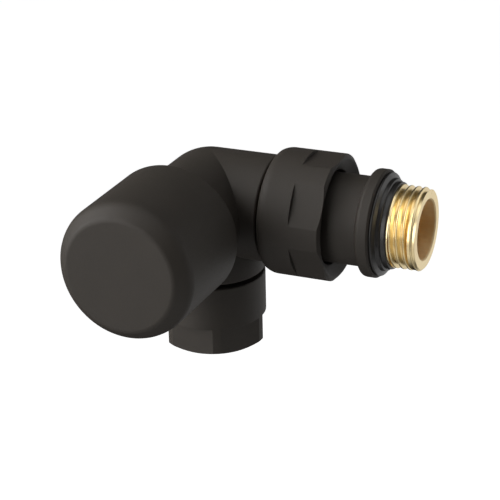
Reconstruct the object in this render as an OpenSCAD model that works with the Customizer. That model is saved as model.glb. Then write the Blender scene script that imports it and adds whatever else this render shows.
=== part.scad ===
// Corner valve for a radiator, with a handwheel, a union to the radiator and a
// compression joint to the pipe. Lengths are in millimetres.
// Three round arms of one radius meet at the axis crossing: the union arm runs
// along +X, the handwheel arm along -Y and the pipe arm along -Z. The origin is
// where the radiator thread starts, on the union axis.

/* [Body] */
// Radius of the three arms of the body
arm_r = 13.85; // [13.7:0.05:14.1]
// Length of the union arm from the axis crossing
union_arm = 18.2; // [17.5:0.1:22]
// Length of the pipe arm from the axis crossing
pipe_arm = 18.3; // [17.5:0.1:22]
// Length of the handwheel arm from the axis crossing
wheel_arm = 28.5; // [27.5:0.1:31]
// Rounding of the ends of the arms
arm_round = 0.5; // [0.3:0.1:1]

/* [Seat and plug] */
// Radius of the opening that the plug closes
orifice_r = 5; // [4:0.1:5.3]
// Distance of the seat's lip behind the union axis
seat_behind = 0.7; // [0.3:0.1:1.2]
// Width of the seat ring's wall
seat_wall = 1.5; // [1.2:0.1:1.8]
// Height of the seat's lip over the floor of the valve chamber
seat_lip = 0.8; // [0.5:0.1:1.2]
// Depth of the seat ring in the body
seat_depth = 2; // [1.5:0.1:2.4]
// Thickness of the rubber washer on the plug
washer_t = 2.2; // [1.6:0.1:2.6]
// Length of the plug in front of its washer
plug_len = 7; // [6.6:0.1:7.4]
// Way that the plug and the handwheel travel from shut to open
lift = 3.75; // [3:0.05:4]

/* [Spindle and bonnet] */
// Radius of the spindle's thread
spindle_r = 5; // [4.6:0.1:5.2]
// Radius of the smooth stem through the seals
stem_r = 4; // [3.6:0.1:4.2]
// Radius of the pin that turns in the plug
pivot_r = 3; // [2.6:0.1:3.2]
// Wall of the handwheel arm around the bonnet's thread
bonnet_wall = 3.95; // [3.5:0.05:4.3]
// Length of the bonnet's thread in the body
bonnet_thread = 10; // [8:0.5:11]
// Distance of the bonnet's flats inside the arm's surface
bonnet_flat_in = 2.85; // [2.4:0.05:3.3]
// Thickness of the bonnet's hexagon
bonnet_hex_t = 3; // [2.5:0.1:3.5]
// Thickness of the gasket under the bonnet
gasket_t = 1; // [0.6:0.1:1.4]
// Thickness of the rubber of the two stem seals
stem_seal_d = 1.9; // [1.6:0.1:2]
// Size across the flats of the gland nut
gland_af = 13; // [12.5:0.1:14]
// Size across the flats of the spindle's square end
square_af = 5.6; // [5:0.1:5.8]

/* [Handwheel] */
// Radius of the handwheel at its open end
wheel_r = 17.7; // [17.3:0.1:20]
// Amount by which the handwheel is slimmer at its front
wheel_draft = 0.2; // [0:0.05:0.5]
// Distance of the handwheel's open end from the axis crossing, with the valve shut
wheel_start = 23.1; // [22.6:0.1:24]
// Length of the handwheel
wheel_len = 29.2; // [29:0.1:33]
// Width of the slope between the handwheel's side and its face
wheel_slope = 1.4; // [0.5:0.1:2]
// Rounding between the handwheel's side and that slope
wheel_round = 4.2; // [2:0.1:5]
// Rounding between that slope and the handwheel's face
face_round = 2; // [1:0.1:3]
// Thickness of the handwheel's front wall
wheel_front = 3; // [2.6:0.1:3.1]
// Radius of the screw that holds the handwheel
hub_screw_r = 2; // [1.6:0.1:2.2]

/* [Union] */
// Thickness of the union nut's collar over its thread
union_wall = 2.98; // [2.6:0.02:3.8]
// Depth of the union nut's flats below its round collar
union_flat_in = 1.25; // [0.8:0.05:1.5]
// Gap between the union arm and the union nut
union_gap = 1; // [0.6:0.1:1.5]
// Length of the union nut
union_len = 16.9; // [16.4:0.1:19]
// Length of the union nut's round collar
union_collar = 8.8; // [6:0.1:10]
// Turn of the union nut's flats about its axis
union_turn = 31; // [0:1:59]
// Opening of the union nut around the tailpiece
union_bore_gap = 0.7; // [0.4:0.1:0.9]

/* [Tailpiece] */
// Outer radius of the tailpiece
tail_r = 11.45; // [11.2:0.05:11.6]
// Height of the snap ring above the tailpiece
ring_stand = 1.52; // [1.3:0.02:1.7]
// Radius of the way through the tailpiece
tail_bore_r = 7.55; // [7:0.05:7.7]
// Length of the tailpiece from the end of the body's thread to its collar
tail_len = 16.1; // [15.5:0.1:20]
// Radius of the tailpiece's collar
collar_r = 13.7; // [13:0.1:14.5]
// Width of the tailpiece's collar
collar_w = 4.1; // [3:0.1:5]
// Width of the shoulder seal against the radiator
shoulder_seal_w = 2.3; // [1.8:0.1:3]
// Width of the thread seal
thread_seal_w = 1.3; // [0.8:0.1:1.5]
// Radius of the radiator thread, at its crests
radiator_thread_r = 10.4775; // [10.4:0.0025:10.6]
// Length of the radiator thread
radiator_thread_len = 7.1; // [6:0.1:10]
// Size across the flats of the key's hexagon inside the tailpiece
key_af = 12.7; // [12:0.1:12.9]

/* [Pipe joint] */
// Radius of the pipe that the joint takes
pipe_r = 7.5; // [7:0.05:7.6]
// Depth of the pipe nut's flats below its round collar
pipe_flat_in = 1.35; // [0.9:0.05:1.6]
// Gap between the pipe arm and the pipe nut
pipe_gap = 1.15; // [0.7:0.05:1.5]
// Length of the pipe nut
pipe_nut_len = 19.2; // [18.6:0.1:22]
// Length of the pipe nut's round collar
pipe_collar = 11.5; // [8:0.1:13]
// Turn of the pipe nut's flats about its axis
pipe_turn = 3.5; // [0:0.5:59]
// Length of the pipe thread on the body
pipe_thread_len = 8.8; // [8:0.1:10]

/* [Threads] */
// Pitch of the three pipe threads
pitch = 1.814; // [1.7:0.002:1.9]
// Depth of the three pipe threads
thread_depth = 1.16; // [0.9:0.02:1.2]

/* [Hidden] */
$fn = 96;

// Clearances
run_gap = 0.05;      // between a shaft or thread and the bore it turns in
slip_gap = 0.1;      // between pieces that only go together
shade_gap = 0.4;     // between the handwheel arm and the handwheel around it
over = 1;            // how far a cut runs past the surface it opens

// Valve chamber, on the handwheel axis. Places on this axis count forward from the crossing.
chamber_floor = -seat_behind - seat_lip;
seat_r = orifice_r + seat_wall;
chamber_room = 2.1;
chamber_r = seat_r + chamber_room;
seat_back = chamber_floor - seat_depth;
rear_port_step = 0.2;
rear_port_r = 3.6;
rear_port_y = -seat_back + rear_port_step + rear_port_r;
port_past_end = 0.3;
rear_end = rear_port_y + rear_port_r - port_past_end;
outlet_port_r = 4.2;
outlet_port_step = 1.9;
outlet_port_front = chamber_floor + outlet_port_step + outlet_port_r;

// Plug and its washer, shut against the seat's lip
washer_front = -seat_behind + washer_t;
plug_front = washer_front + plug_len;
plug_rim = 0.5;
plug_r = seat_r + plug_rim;
washer_screw_r = 1.5;
washer_head_rim = 1.1;
washer_head_r = washer_screw_r + washer_head_rim;
washer_head_t = 1.5;
washer_screw_len = 2.8;
head_slot = 0.6;
clip_t = 0.7;
clip_depth = 0.6;
clip_rim = 0.8;
clip_r = pivot_r + clip_rim;
clip_in = 1.1;
clip_front = plug_front - clip_in;
clip_back = clip_front - clip_t;

// Spindle: pivot pin, thrust collar, thread, stem and square, one after the other
pivot_wall = 0.7;
pivot_back = washer_front + washer_screw_len + pivot_wall;
thrust_t = 2;
thrust_in = 0.6;
thrust_r = spindle_r - thrust_in;
lift_play = 0.35;
bonnet_r = arm_r - bonnet_wall;
bonnet_af = 2 * (arm_r - bonnet_flat_in);
bonnet_back = plug_front + thrust_t + lift + lift_play;
bonnet_seat = wheel_arm - bonnet_thread;
gasket_in = 0.8;
gasket_r = arm_r - gasket_in;
gasket_front = wheel_arm + gasket_t;
hex_front = gasket_front + bonnet_hex_t;
thread_stop_in = 2;
thread_play = 0.3;
stem_start = wheel_arm - thread_stop_in;
spindle_thread_front = stem_start - lift - thread_play;
seal_r = stem_r + run_gap + stem_seal_d;
seal_floor = 1.5;
seal_play = 0.15;
seal_apart = 0.3;
seal_back = stem_start + seal_floor;
seal_inner = seal_back + seal_play + stem_seal_d / 2;
seal_outer = seal_inner + stem_seal_d + seal_apart;
gland_washer_play = 0.35;
gland_washer_back = seal_outer + stem_seal_d / 2 + gland_washer_play;
gland_washer_t = 1;
gland_back = gland_washer_back + gland_washer_t;
gland_wall = 0.95;
gland_r = seal_r + gland_wall;
neck_wall = 1.5;
neck_r = gland_r + neck_wall;
gland_len = 4.4;
neck_front = gland_back + gland_len;
gland_hex_t = 2.5;
gland_front = neck_front + gland_hex_t;

// Handwheel and its hub
wheel_end = wheel_start + wheel_len;
wheel_inner = wheel_end - wheel_front;
wheel_bore_r = arm_r + shade_gap;
wheel_edge = 0.4;
slope_angle = 45;
nose_start = wheel_end - wheel_round * sin(slope_angle) - wheel_slope
    - face_round * (1 - cos(slope_angle));
wheel_shoulder_r = wheel_r - wheel_draft * (nose_start - wheel_start) / wheel_len;
face_r = wheel_shoulder_r - wheel_round * (1 - cos(slope_angle)) - wheel_slope
    - face_round * sin(slope_angle);
slope_r = wheel_shoulder_r - wheel_round * (1 - cos(slope_angle));
slope_start = nose_start + wheel_round * sin(slope_angle);
hub_head_t = 2;
hub_head_rim = 1.8;
hub_head_r = hub_screw_r + hub_head_rim;
hub_key_af = 3.2;
hub_key_deep = 1.6;
hub_play = 0.2;
hub_wall = 1.6;
hub_washer_t = 0.8;
hub_washer_rim = 0.9;
hub_washer_front = wheel_inner - hub_play - hub_head_t;
hub_front = hub_washer_front - hub_washer_t;
hub_clear = 0.7;
hub_back = gland_front + hub_clear;
square_back = gland_front;
square_front = hub_front - hub_wall - slip_gap;
hub_r = wheel_bore_r - slip_gap;
hub_web_t = 3;
hub_boss_wall = 2.5;
hub_boss_r = stem_r + hub_boss_wall;
hub_skirt_t = 2;
hub_skirt_len = 9;
hub_skirt_back = hub_front - hub_skirt_len;
key_count = 6;
key_w = 2.4;
key_h = 1.4;
key_lead = 1;
hub_screw_len = 11;
hub_screw_play = 1;
screw_hole_back = hub_washer_front - hub_screw_len - hub_screw_play;

// Union, on the union axis
neck_len = 1.2;
union_start = union_arm + union_gap;
union_end = union_start + union_len;
stub_in_nut = 8.3;
stub_end = union_start + stub_in_nut;
ring_t = 1.2;
ring_slot = 2;
ring_play = 0.7;
ring_back = stub_end + ring_play;
ring_front = ring_back + ring_t;
ring_deep = 0.8;
ring_groove_r = tail_r - ring_deep;
union_bore_r = tail_r + union_bore_gap;
ring_r = tail_r + ring_stand;
ring_gap = 0.3;
union_thread_bore = ring_r + ring_gap;
union_thread_r = union_thread_bore - run_gap;
union_r = union_thread_bore + union_wall;
union_flat_r = union_r - union_flat_in;
spigot_wall = 2.55;
spigot_r = tail_bore_r + spigot_wall;
spigot_len = 5.1;
socket_play = 0.2;
socket_r = spigot_r + slip_gap;
socket_len = spigot_len + socket_play;
tail_seal_d = 1.35;
tail_seal_r = socket_r - run_gap - slip_gap / 4 - tail_seal_d / 2;
tail_groove_w = 2.4;
tail_groove_r = tail_seal_r - tail_seal_d / 2;
tail_groove_land = 1.2;
tail_groove_end = stub_end - tail_groove_land;
tail_groove_start = tail_groove_end - tail_groove_w;
nut_lead = 0.4;
nut_edge = 0.4;
face_step = 0.1;
nut_swell_r = 4.5;
nut_swell_len = 2.6;
union_lip_r = union_r - nut_swell_r + sqrt(pow(nut_swell_r, 2) - pow(nut_swell_len, 2));
body_bore_r = tail_bore_r - run_gap;
bore_wall = 3.9;
outlet_end = chamber_r + bore_wall;

// Tailpiece towards the radiator
collar_start = stub_end + tail_len;
collar_end = collar_start + collar_w;
collar_edge = 0.6;
collar_step = 1.1;
lip_in = 0.55;
lip_r = collar_r - lip_in;
lip_edge = 0.25;
lip_land = 0.6;
lip_slope = 0.9;
lip_fall = 1.45;
seal_nose = 0.25;
seal_core_in = 0.28;
seal_core_r = radiator_thread_r - seal_core_in;
seal_bore_r = seal_core_r + run_gap;
shoulder_seal_end = collar_end + shoulder_seal_w;
thread_seal_end = shoulder_seal_end + thread_seal_w;
thread_seal_t = 0.8;
thread_seal_edge = 0.4;
thread_seal_r = seal_core_r + thread_seal_t;
thread_start = thread_seal_end + slip_gap;
tail_end = thread_start + radiator_thread_len;
thread_land = 0.3;
thread_chamfer = 0.5;
key_in = 5;
key_start = stub_end + key_in;
key_len = 6;

// Pipe joint, on the pipe axis
pipe_thread_r = 10.4775;
pipe_neck_len = 1.5;
pipe_nut_r = arm_r;
pipe_flat_r = pipe_nut_r - pipe_flat_in;
pipe_nut_start = pipe_arm + pipe_gap;
pipe_nut_end = pipe_nut_start + pipe_nut_len;
pipe_stub_end = pipe_arm + pipe_neck_len + pipe_thread_len;
pipe_socket_r = pipe_r + slip_gap;
pipe_socket_deep = 6;
pipe_stop = pipe_stub_end - pipe_socket_deep;
mouth_flare = 1.4;
mouth_r = pipe_socket_r + mouth_flare;
mouth_len = 1.8;
mouth_slope = mouth_len / mouth_flare;
inlet_in = 0.6;
inlet_r = pipe_r - inlet_in;
inlet_wall = 4.4;
inlet_top = chamber_r + inlet_wall;
port_overlap = 4;
olive_bore_r = pipe_r + run_gap;
olive_nose_t = 0.45;
olive_cone_gap = 0.14;
olive_nose_r = olive_bore_r + olive_nose_t;
olive_nose = pipe_stub_end - mouth_len + (olive_nose_r + olive_cone_gap - pipe_socket_r) * mouth_slope;
olive_r = mouth_r - slip_gap;
olive_len = 5.6;
olive_tail_t = 0.65;
olive_tail_len = 1.2;
olive_end = olive_nose + olive_len;
thrust_ring_t = 1.5;
thrust_ring_start = olive_end + run_gap;
thrust_ring_end = thrust_ring_start + thrust_ring_t;
nut_thread_bore = pipe_thread_r + run_gap;
nut_hole_gap = 0.25;
nut_hole_r = pipe_r + nut_hole_gap;

// Finishes
coat = [0.16, 0.155, 0.15];
brass = [0.85, 0.68, 0.38];
steel = [0.7, 0.7, 0.72];
rubber = [0.07, 0.07, 0.07];
fibre = [0.42, 0.36, 0.3];
plastic = [0.22, 0.22, 0.22];

// Turns that lay a shape built up along +Z on one of the three axes
module on_union_axis() translate([-thread_start, 0, 0]) rotate([0, 90, 0]) children();
module on_wheel_axis() translate([-thread_start, 0, 0]) rotate([90, 0, 0]) children();
module on_pipe_axis() translate([-thread_start, 0, 0]) rotate([180, 0, 0]) children();

// Round solid between two places on its axis
module rod(r, from, to) translate([0, 0, from]) cylinder(r = r, h = to - from);

// Round solid that widens or narrows evenly
module taper(r_from, r_to, from, to) translate([0, 0, from])
    cylinder(r1 = r_from, r2 = r_to, h = to - from);

// Cone that leaves a chamfer of 45 degrees, down to a radius on its far end
module end_cone(r_end, from, to) taper(r_end + to - from, r_end, from, to);

// Ring between two places on its axis
module ring(r_in, r_out, from, to) difference() {
    rod(r_out, from, to);
    rod(r_in, from - over, to + over);
}

// Round cord bent into a ring, as an O-ring is
module o_ring(mid_r, cord_d, at) translate([0, 0, at])
    rotate_extrude() translate([mid_r, 0]) circle(d = cord_d, $fn = 48);

// Six-sided prism
module hexagon(af, from, to, turn = 0) rotate([0, 0, turn]) translate([0, 0, from])
    cylinder(r = af / 2 / cos(30), h = to - from, $fn = 6);

// What is cut off a round part to give it six flats, each at the distance flat_r from the axis
module flats(flat_r, r, from, to, turn) for (side = [0:5])
    rotate([0, 0, turn + 30 + side * 60])
        translate([flat_r, -r, from]) cube([r, 2 * r, to - from]);

// Half section of a rod whose far edge is rounded; x is the radius and y the place on the axis
module round_end_section(r, from, to, edge) {
    translate([0, from]) square([r, to - from - edge]);
    translate([0, from]) square([r - edge, to - from]);
    translate([r - edge, to - edge]) circle(r = edge);
}

// Thread ridges, each one a ring with sloping sides, over a core
root_share = 0.4;
crest_share = 0.09;
function ridge(r, at) = [
    [r - thread_depth, at - pitch * root_share],
    [r, at - pitch * crest_share],
    [r, at + pitch * crest_share],
    [r - thread_depth, at + pitch * root_share]];
module threaded(r, from, to) {
    count = floor((to - from - pitch * 0.5) / pitch);
    first = to - pitch * (0.5 + count);
    rotate_extrude() polygon(concat(
        [[0, from], [r - thread_depth, from]],
        [for (i = [0:count]) each ridge(r, first + i * pitch)],
        [[r - thread_depth, to], [0, to]]));
}

// Body: three arms that meet in a ball, the two threaded stubs and the water ways
module valve_body() color(coat) difference() {
    union() {
        on_union_axis() sphere(r = arm_r);
        on_union_axis() rotate_extrude() round_end_section(arm_r, 0, union_arm, arm_round);
        on_pipe_axis() rotate_extrude() round_end_section(arm_r, 0, pipe_arm, arm_round);
        on_wheel_axis() rotate_extrude() round_end_section(arm_r, 0, wheel_arm, arm_round);
        on_union_axis() union_stub();
        on_pipe_axis() pipe_stub();
    }
    on_wheel_axis() valve_chamber();
    on_union_axis() outlet_way();
    on_pipe_axis() inlet_way();
}

module union_stub() {
    rod(union_thread_r - thread_depth, union_arm - over, union_arm + neck_len);
    threaded(union_thread_r, union_arm + neck_len, stub_end);
}

module pipe_stub() {
    rod(pipe_thread_r - thread_depth, pipe_arm - over, pipe_arm + pipe_neck_len);
    threaded(pipe_thread_r, pipe_arm + pipe_neck_len, pipe_stub_end);
}

// Chamber around the plug, the seat's pocket and the space behind the seat
module valve_chamber() {
    rod(chamber_r, chamber_floor, bonnet_seat + over);
    rod(bonnet_r + run_gap, bonnet_seat, wheel_arm + over);
    rod(seat_r + run_gap, seat_back, chamber_floor + over);
    rod(orifice_r, -rear_end, seat_back + over);
}

// From the front of the chamber out through the union
module outlet_way() {
    translate([0, -outlet_port_front, 0]) rod(outlet_port_r, 0, outlet_end + over);
    rod(body_bore_r, outlet_end, stub_end + over);
    rod(socket_r, stub_end - socket_len, stub_end + over);
}

// From the pipe up to the space behind the seat
module inlet_way() {
    translate([0, -rear_port_y, 0]) rod(rear_port_r, 0, inlet_top + port_overlap);
    rod(inlet_r, inlet_top, pipe_stub_end + over);
    rod(pipe_socket_r, pipe_stop, pipe_stub_end + over);
    taper(pipe_socket_r, mouth_r, pipe_stub_end - mouth_len, pipe_stub_end);
}

module seat_ring() color(steel) on_wheel_axis() ring(orifice_r, seat_r, seat_back, -seat_behind);

// Bonnet: screwed into the wheel arm, it guides the spindle and holds its seals
module bonnet() color(brass) on_wheel_axis() difference() {
    union() {
        rod(chamber_r - slip_gap, bonnet_back, bonnet_seat);
        rod(bonnet_r, bonnet_seat, gasket_front);
        hexagon(bonnet_af, gasket_front, hex_front);
        rod(neck_r, hex_front, neck_front);
    }
    rod(spindle_r + run_gap, bonnet_back - over, stem_start);
    rod(stem_r + run_gap, stem_start - over, seal_back + over);
    rod(seal_r + run_gap, seal_back, gland_back);
    rod(gland_r + run_gap, gland_back, neck_front + over);
}

module bonnet_gasket() color(fibre) on_wheel_axis()
    ring(bonnet_r + slip_gap, gasket_r, wheel_arm, gasket_front);

module gland_nut() color(brass) on_wheel_axis() difference() {
    union() {
        rod(gland_r, gland_back, neck_front);
        hexagon(gland_af, neck_front, gland_front);
    }
    rod(stem_r + run_gap, gland_back - over, gland_front + over);
}

module gland_washer() color(brass) on_wheel_axis()
    ring(stem_r + run_gap, seal_r, gland_washer_back, gland_back);

module stem_seal_inner() color(rubber) on_wheel_axis()
    o_ring(stem_r + run_gap + stem_seal_d / 2, stem_seal_d, seal_inner);

module stem_seal_outer() color(rubber) on_wheel_axis()
    o_ring(stem_r + run_gap + stem_seal_d / 2, stem_seal_d, seal_outer);

// Spindle: a pin that turns in the plug, a thrust collar, the lifting thread,
// the smooth stem and a square end for the handwheel
module spindle() color(steel) on_wheel_axis() difference() {
    union() {
        rod(pivot_r, pivot_back, plug_front);
        rod(thrust_r, plug_front, plug_front + thrust_t);
        rod(spindle_r, plug_front + thrust_t, spindle_thread_front);
        rod(stem_r, spindle_thread_front, square_back);
        intersection() {
            rod(stem_r, square_back, square_front);
            square_bar(square_af, square_back, square_front);
        }
    }
    ring(pivot_r - clip_depth, pivot_r + over, clip_back - slip_gap, clip_front + slip_gap);
    rod(hub_screw_r + run_gap, screw_hole_back, square_front + over);
}

module square_bar(af, from, to) translate([-af / 2, -af / 2, from]) cube([af, af, to - from]);

// Split ring that holds the spindle in the plug
module spindle_clip() color(steel) on_wheel_axis()
    split_ring(pivot_r - clip_depth + run_gap, clip_r, clip_back, clip_front, clip_t);

module split_ring(r_in, r_out, from, to, slot) difference() {
    ring(r_in, r_out, from, to);
    translate([0, -slot / 2, from - over]) cube([r_out + over, slot, to - from + 2 * over]);
}

module plug() color(brass) on_wheel_axis() difference() {
    rod(plug_r, washer_front, plug_front);
    rod(pivot_r + run_gap, pivot_back - slip_gap, plug_front + over);
    rod(clip_r + run_gap, clip_back, clip_front);
    rod(washer_screw_r, washer_front - over, washer_front + washer_screw_len);
}

module seat_washer() color(rubber) on_wheel_axis()
    ring(washer_screw_r + slip_gap, plug_r - slip_gap, -seat_behind, washer_front);

module washer_screw() color(steel) on_wheel_axis() difference() {
    union() {
        rod(washer_screw_r - run_gap, -seat_behind, washer_front + washer_screw_len - slip_gap);
        rod(washer_head_r, -seat_behind - washer_head_t, -seat_behind);
    }
    translate([-washer_head_r - over, -head_slot / 2, -seat_behind - washer_head_t - over])
        cube([2 * (washer_head_r + over), head_slot, over + washer_head_t / 2]);
}

// Hub: sits on the spindle's square and carries the handwheel on a web and a skirt
module handwheel_hub() color(plastic) on_wheel_axis() difference() {
    union() {
        rod(hub_boss_r, hub_back, hub_front);
        rod(hub_r, hub_front - hub_web_t, hub_front);
        ring(hub_r - hub_skirt_t, hub_r, hub_skirt_back, hub_front - hub_web_t);
    }
    square_bar(square_af + slip_gap, hub_back - over, square_front + slip_gap);
    rod(hub_screw_r + slip_gap, square_front, hub_front + over);
    keys(key_w + 2 * slip_gap, key_h + slip_gap, hub_skirt_back - over, hub_front + over);
}

// Ribs that stand inwards from the handwheel's bore
module keys(w, h, from, to) for (i = [0:key_count - 1])
    rotate([0, 0, i * 360 / key_count])
        translate([wheel_bore_r - h, -w / 2, from]) cube([h + shade_gap, w, to - from]);

module hub_washer() color(steel) on_wheel_axis()
    ring(hub_screw_r + slip_gap, hub_head_r + hub_washer_rim, hub_front, hub_washer_front);

module hub_screw() color(steel) on_wheel_axis() difference() {
    union() {
        rod(hub_screw_r, hub_washer_front - hub_screw_len, hub_washer_front);
        rod(hub_head_r, hub_washer_front, hub_washer_front + hub_head_t);
    }
    hexagon(hub_key_af, hub_washer_front + hub_head_t - hub_key_deep, hub_washer_front + hub_head_t + over);
}

// Handwheel: a plain cup with a rounded front edge, open towards the body
module handwheel() color(coat) on_wheel_axis() {
    difference() {
        rotate_extrude() handwheel_section();
        rod(wheel_bore_r, wheel_start - over, wheel_inner);
        taper(wheel_bore_r + wheel_edge, wheel_bore_r, wheel_start, wheel_start + wheel_edge);
    }
    keys(key_w, key_h, hub_skirt_back - key_lead, wheel_inner);
}

module handwheel_section() {
    polygon([
        [0, wheel_start],
        [wheel_r - wheel_edge, wheel_start],
        [wheel_r, wheel_start + wheel_edge],
        [wheel_shoulder_r, nose_start],
        [slope_r, slope_start],
        [slope_r - wheel_slope, slope_start + wheel_slope],
        [face_r, wheel_end],
        [0, wheel_end]]);
    translate([wheel_shoulder_r - wheel_round, nose_start]) circle(r = wheel_round);
    translate([face_r, wheel_end - face_round]) circle(r = face_round);
}

// Union nut: a round collar that swells from its open end, then six flats
module union_nut() color(coat) on_union_axis() difference() {
    rotate_extrude() union_nut_section();
    flats(union_flat_r, union_r, union_start + union_collar, union_end + over, union_turn);
    rod(union_thread_bore, union_start - over, ring_front);
    taper(union_thread_bore + nut_lead, union_thread_bore, union_start, union_start + nut_lead);
    rod(union_bore_r, ring_front - over, union_end + over);
}

module union_nut_section() difference() {
    union() {
        translate([0, union_start + nut_swell_len])
            square([union_r, union_len - nut_swell_len]);
        intersection() {
            translate([0, union_start]) square([union_r, nut_swell_len + over]);
            union() {
                translate([0, union_start]) square([union_r - nut_swell_r, nut_swell_len + over]);
                translate([union_r - nut_swell_r, union_start + nut_swell_len]) circle(r = nut_swell_r);
            }
        }
    }
    start_bevel(union_lip_r, union_start, nut_edge);
    end_bevel(union_r, union_flat_r - face_step, union_end);
}

// What breaks the edge where a nut starts
module start_bevel(r, at, size) polygon([
    [r - size, at],
    [r + over, at + size + over],
    [r + over, at - over],
    [r - size, at - over]]);

// What bevels the end of a nut, from a radius on its end face out to its corners
module end_bevel(r, face_r, at) polygon([
    [face_r, at],
    [r + over, at - (r + over - face_r) * tan(30)],
    [r + over, at + over],
    [face_r, at + over]]);

// Tailpiece: a sealed spigot towards the body and the radiator's thread at the other end
module tailpiece() color(brass) on_union_axis() difference() {
    union() {
        rod(spigot_r, stub_end - spigot_len, stub_end + over);
        rod(tail_r, stub_end, collar_end);
        rotate_extrude() collar_section();
        rod(seal_core_r, collar_end - over, thread_start);
        rod(radiator_thread_r, thread_start, thread_start + thread_land);
        intersection() {
            threaded(radiator_thread_r, thread_start, tail_end);
            end_cone(radiator_thread_r - thread_chamfer, thread_start, tail_end);
        }
    }
    ring(tail_groove_r, spigot_r + over, tail_groove_start, tail_groove_end);
    ring(ring_groove_r, tail_r + over, ring_back - run_gap, ring_front + run_gap);
    rod(tail_bore_r, stub_end - spigot_len - over, key_start);
    hexagon(key_af, key_start - over, key_start + key_len + over);
    rod(tail_bore_r, key_start + key_len, tail_end + over);
}

module collar_section() polygon([
    [0, collar_start],
    [tail_r + collar_step, collar_start],
    [collar_r, collar_start + collar_r - tail_r - collar_step],
    [collar_r, collar_end - collar_edge],
    [collar_r - collar_edge, collar_end],
    [0, collar_end]]);

module tail_snap_ring() color(steel) on_union_axis()
    split_ring(ring_groove_r + run_gap, ring_r, ring_back, ring_front, ring_slot);

module tail_seal() color(rubber) on_union_axis()
    o_ring(tail_seal_r, tail_seal_d, tail_groove_start + tail_groove_w / 2);

// Rubber lip that seals on the radiator's face
module shoulder_seal() color(rubber) on_union_axis() rotate_extrude() polygon([
    [seal_bore_r, collar_end],
    [lip_r - lip_edge, collar_end],
    [lip_r, collar_end + lip_edge],
    [lip_r, collar_end + lip_land],
    [lip_r - lip_fall / 2, collar_end + lip_land + lip_slope / 3],
    [lip_r - lip_fall, collar_end + lip_land + lip_slope],
    [lip_r - lip_fall, shoulder_seal_end - seal_nose],
    [lip_r - lip_fall - seal_nose, shoulder_seal_end],
    [seal_bore_r, shoulder_seal_end]]);

module thread_seal() color(rubber) on_union_axis() rotate_extrude() difference() {
    round_end_section(thread_seal_r, shoulder_seal_end, thread_seal_end, thread_seal_edge);
    translate([0, shoulder_seal_end - over]) square([seal_bore_r, thread_seal_w + 2 * over]);
}

// Pipe nut: a long round collar, then six flats
module pipe_nut() color(coat) on_pipe_axis() difference() {
    rotate_extrude() difference() {
        translate([0, pipe_nut_start]) square([pipe_nut_r, pipe_nut_len]);
        start_bevel(pipe_nut_r, pipe_nut_start, nut_edge);
        end_bevel(pipe_nut_r, pipe_flat_r - face_step, pipe_nut_end);
    }
    flats(pipe_flat_r, pipe_nut_r, pipe_nut_start + pipe_collar, pipe_nut_end + over, pipe_turn);
    rod(nut_thread_bore, pipe_nut_start - over, thrust_ring_end);
    taper(nut_thread_bore + nut_lead, nut_thread_bore, pipe_nut_start, pipe_nut_start + nut_lead);
    rod(nut_hole_r, thrust_ring_end - over, pipe_nut_end + over);
}

// Olive: the soft ring that is squeezed onto the pipe
module olive() color(brass) on_pipe_axis() rotate_extrude() polygon([
    [olive_bore_r, olive_nose],
    [olive_nose_r, olive_nose],
    [olive_r, olive_nose + (olive_r - olive_nose_r) * mouth_slope],
    [olive_r, olive_end - olive_tail_len],
    [olive_bore_r + olive_tail_t, olive_end],
    [olive_bore_r, olive_end]]);

module thrust_ring() color(brass) on_pipe_axis()
    ring(nut_hole_r, nut_thread_bore - slip_gap, thrust_ring_start, thrust_ring_end);

valve_body();
seat_ring();
bonnet();
bonnet_gasket();
gland_nut();
gland_washer();
stem_seal_inner();
stem_seal_outer();
spindle();
spindle_clip();
plug();
seat_washer();
washer_screw();
handwheel_hub();
hub_screw();
hub_washer();
handwheel();
union_nut();
tailpiece();
tail_snap_ring();
tail_seal();
shoulder_seal();
thread_seal();
pipe_nut();
olive();
thrust_ring();
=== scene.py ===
from math import ceil, cos, pi, radians, sin, sqrt, tan

import bpy
from bpy.props import FloatProperty, FloatVectorProperty, PointerProperty
from mathutils import Matrix, Vector


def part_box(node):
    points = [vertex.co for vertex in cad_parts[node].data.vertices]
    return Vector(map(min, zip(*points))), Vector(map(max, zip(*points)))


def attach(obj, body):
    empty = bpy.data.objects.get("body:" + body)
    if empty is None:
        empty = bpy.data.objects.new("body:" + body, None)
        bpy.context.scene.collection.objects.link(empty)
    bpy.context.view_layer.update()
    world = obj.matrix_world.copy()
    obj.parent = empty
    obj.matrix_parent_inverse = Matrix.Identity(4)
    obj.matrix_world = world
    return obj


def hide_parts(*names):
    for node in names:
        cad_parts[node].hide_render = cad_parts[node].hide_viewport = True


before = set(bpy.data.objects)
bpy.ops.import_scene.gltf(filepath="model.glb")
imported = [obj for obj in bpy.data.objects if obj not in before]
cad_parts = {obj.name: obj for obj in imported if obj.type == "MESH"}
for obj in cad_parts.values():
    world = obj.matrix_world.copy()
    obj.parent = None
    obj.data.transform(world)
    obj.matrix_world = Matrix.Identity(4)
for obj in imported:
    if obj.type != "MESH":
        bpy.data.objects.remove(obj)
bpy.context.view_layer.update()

bl_info = {
    "name": "Corner radiator valve",
    "version": (1, 0, 0),
    "blender": (4, 5, 0),
    "location": "View3D > Sidebar > Radiator valve",
    "description": "Models a corner radiator valve's visible pieces around its fixed frame",
    "category": "Object",
}


# Sizes and places


def mm(length):
    return length / 1000


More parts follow.
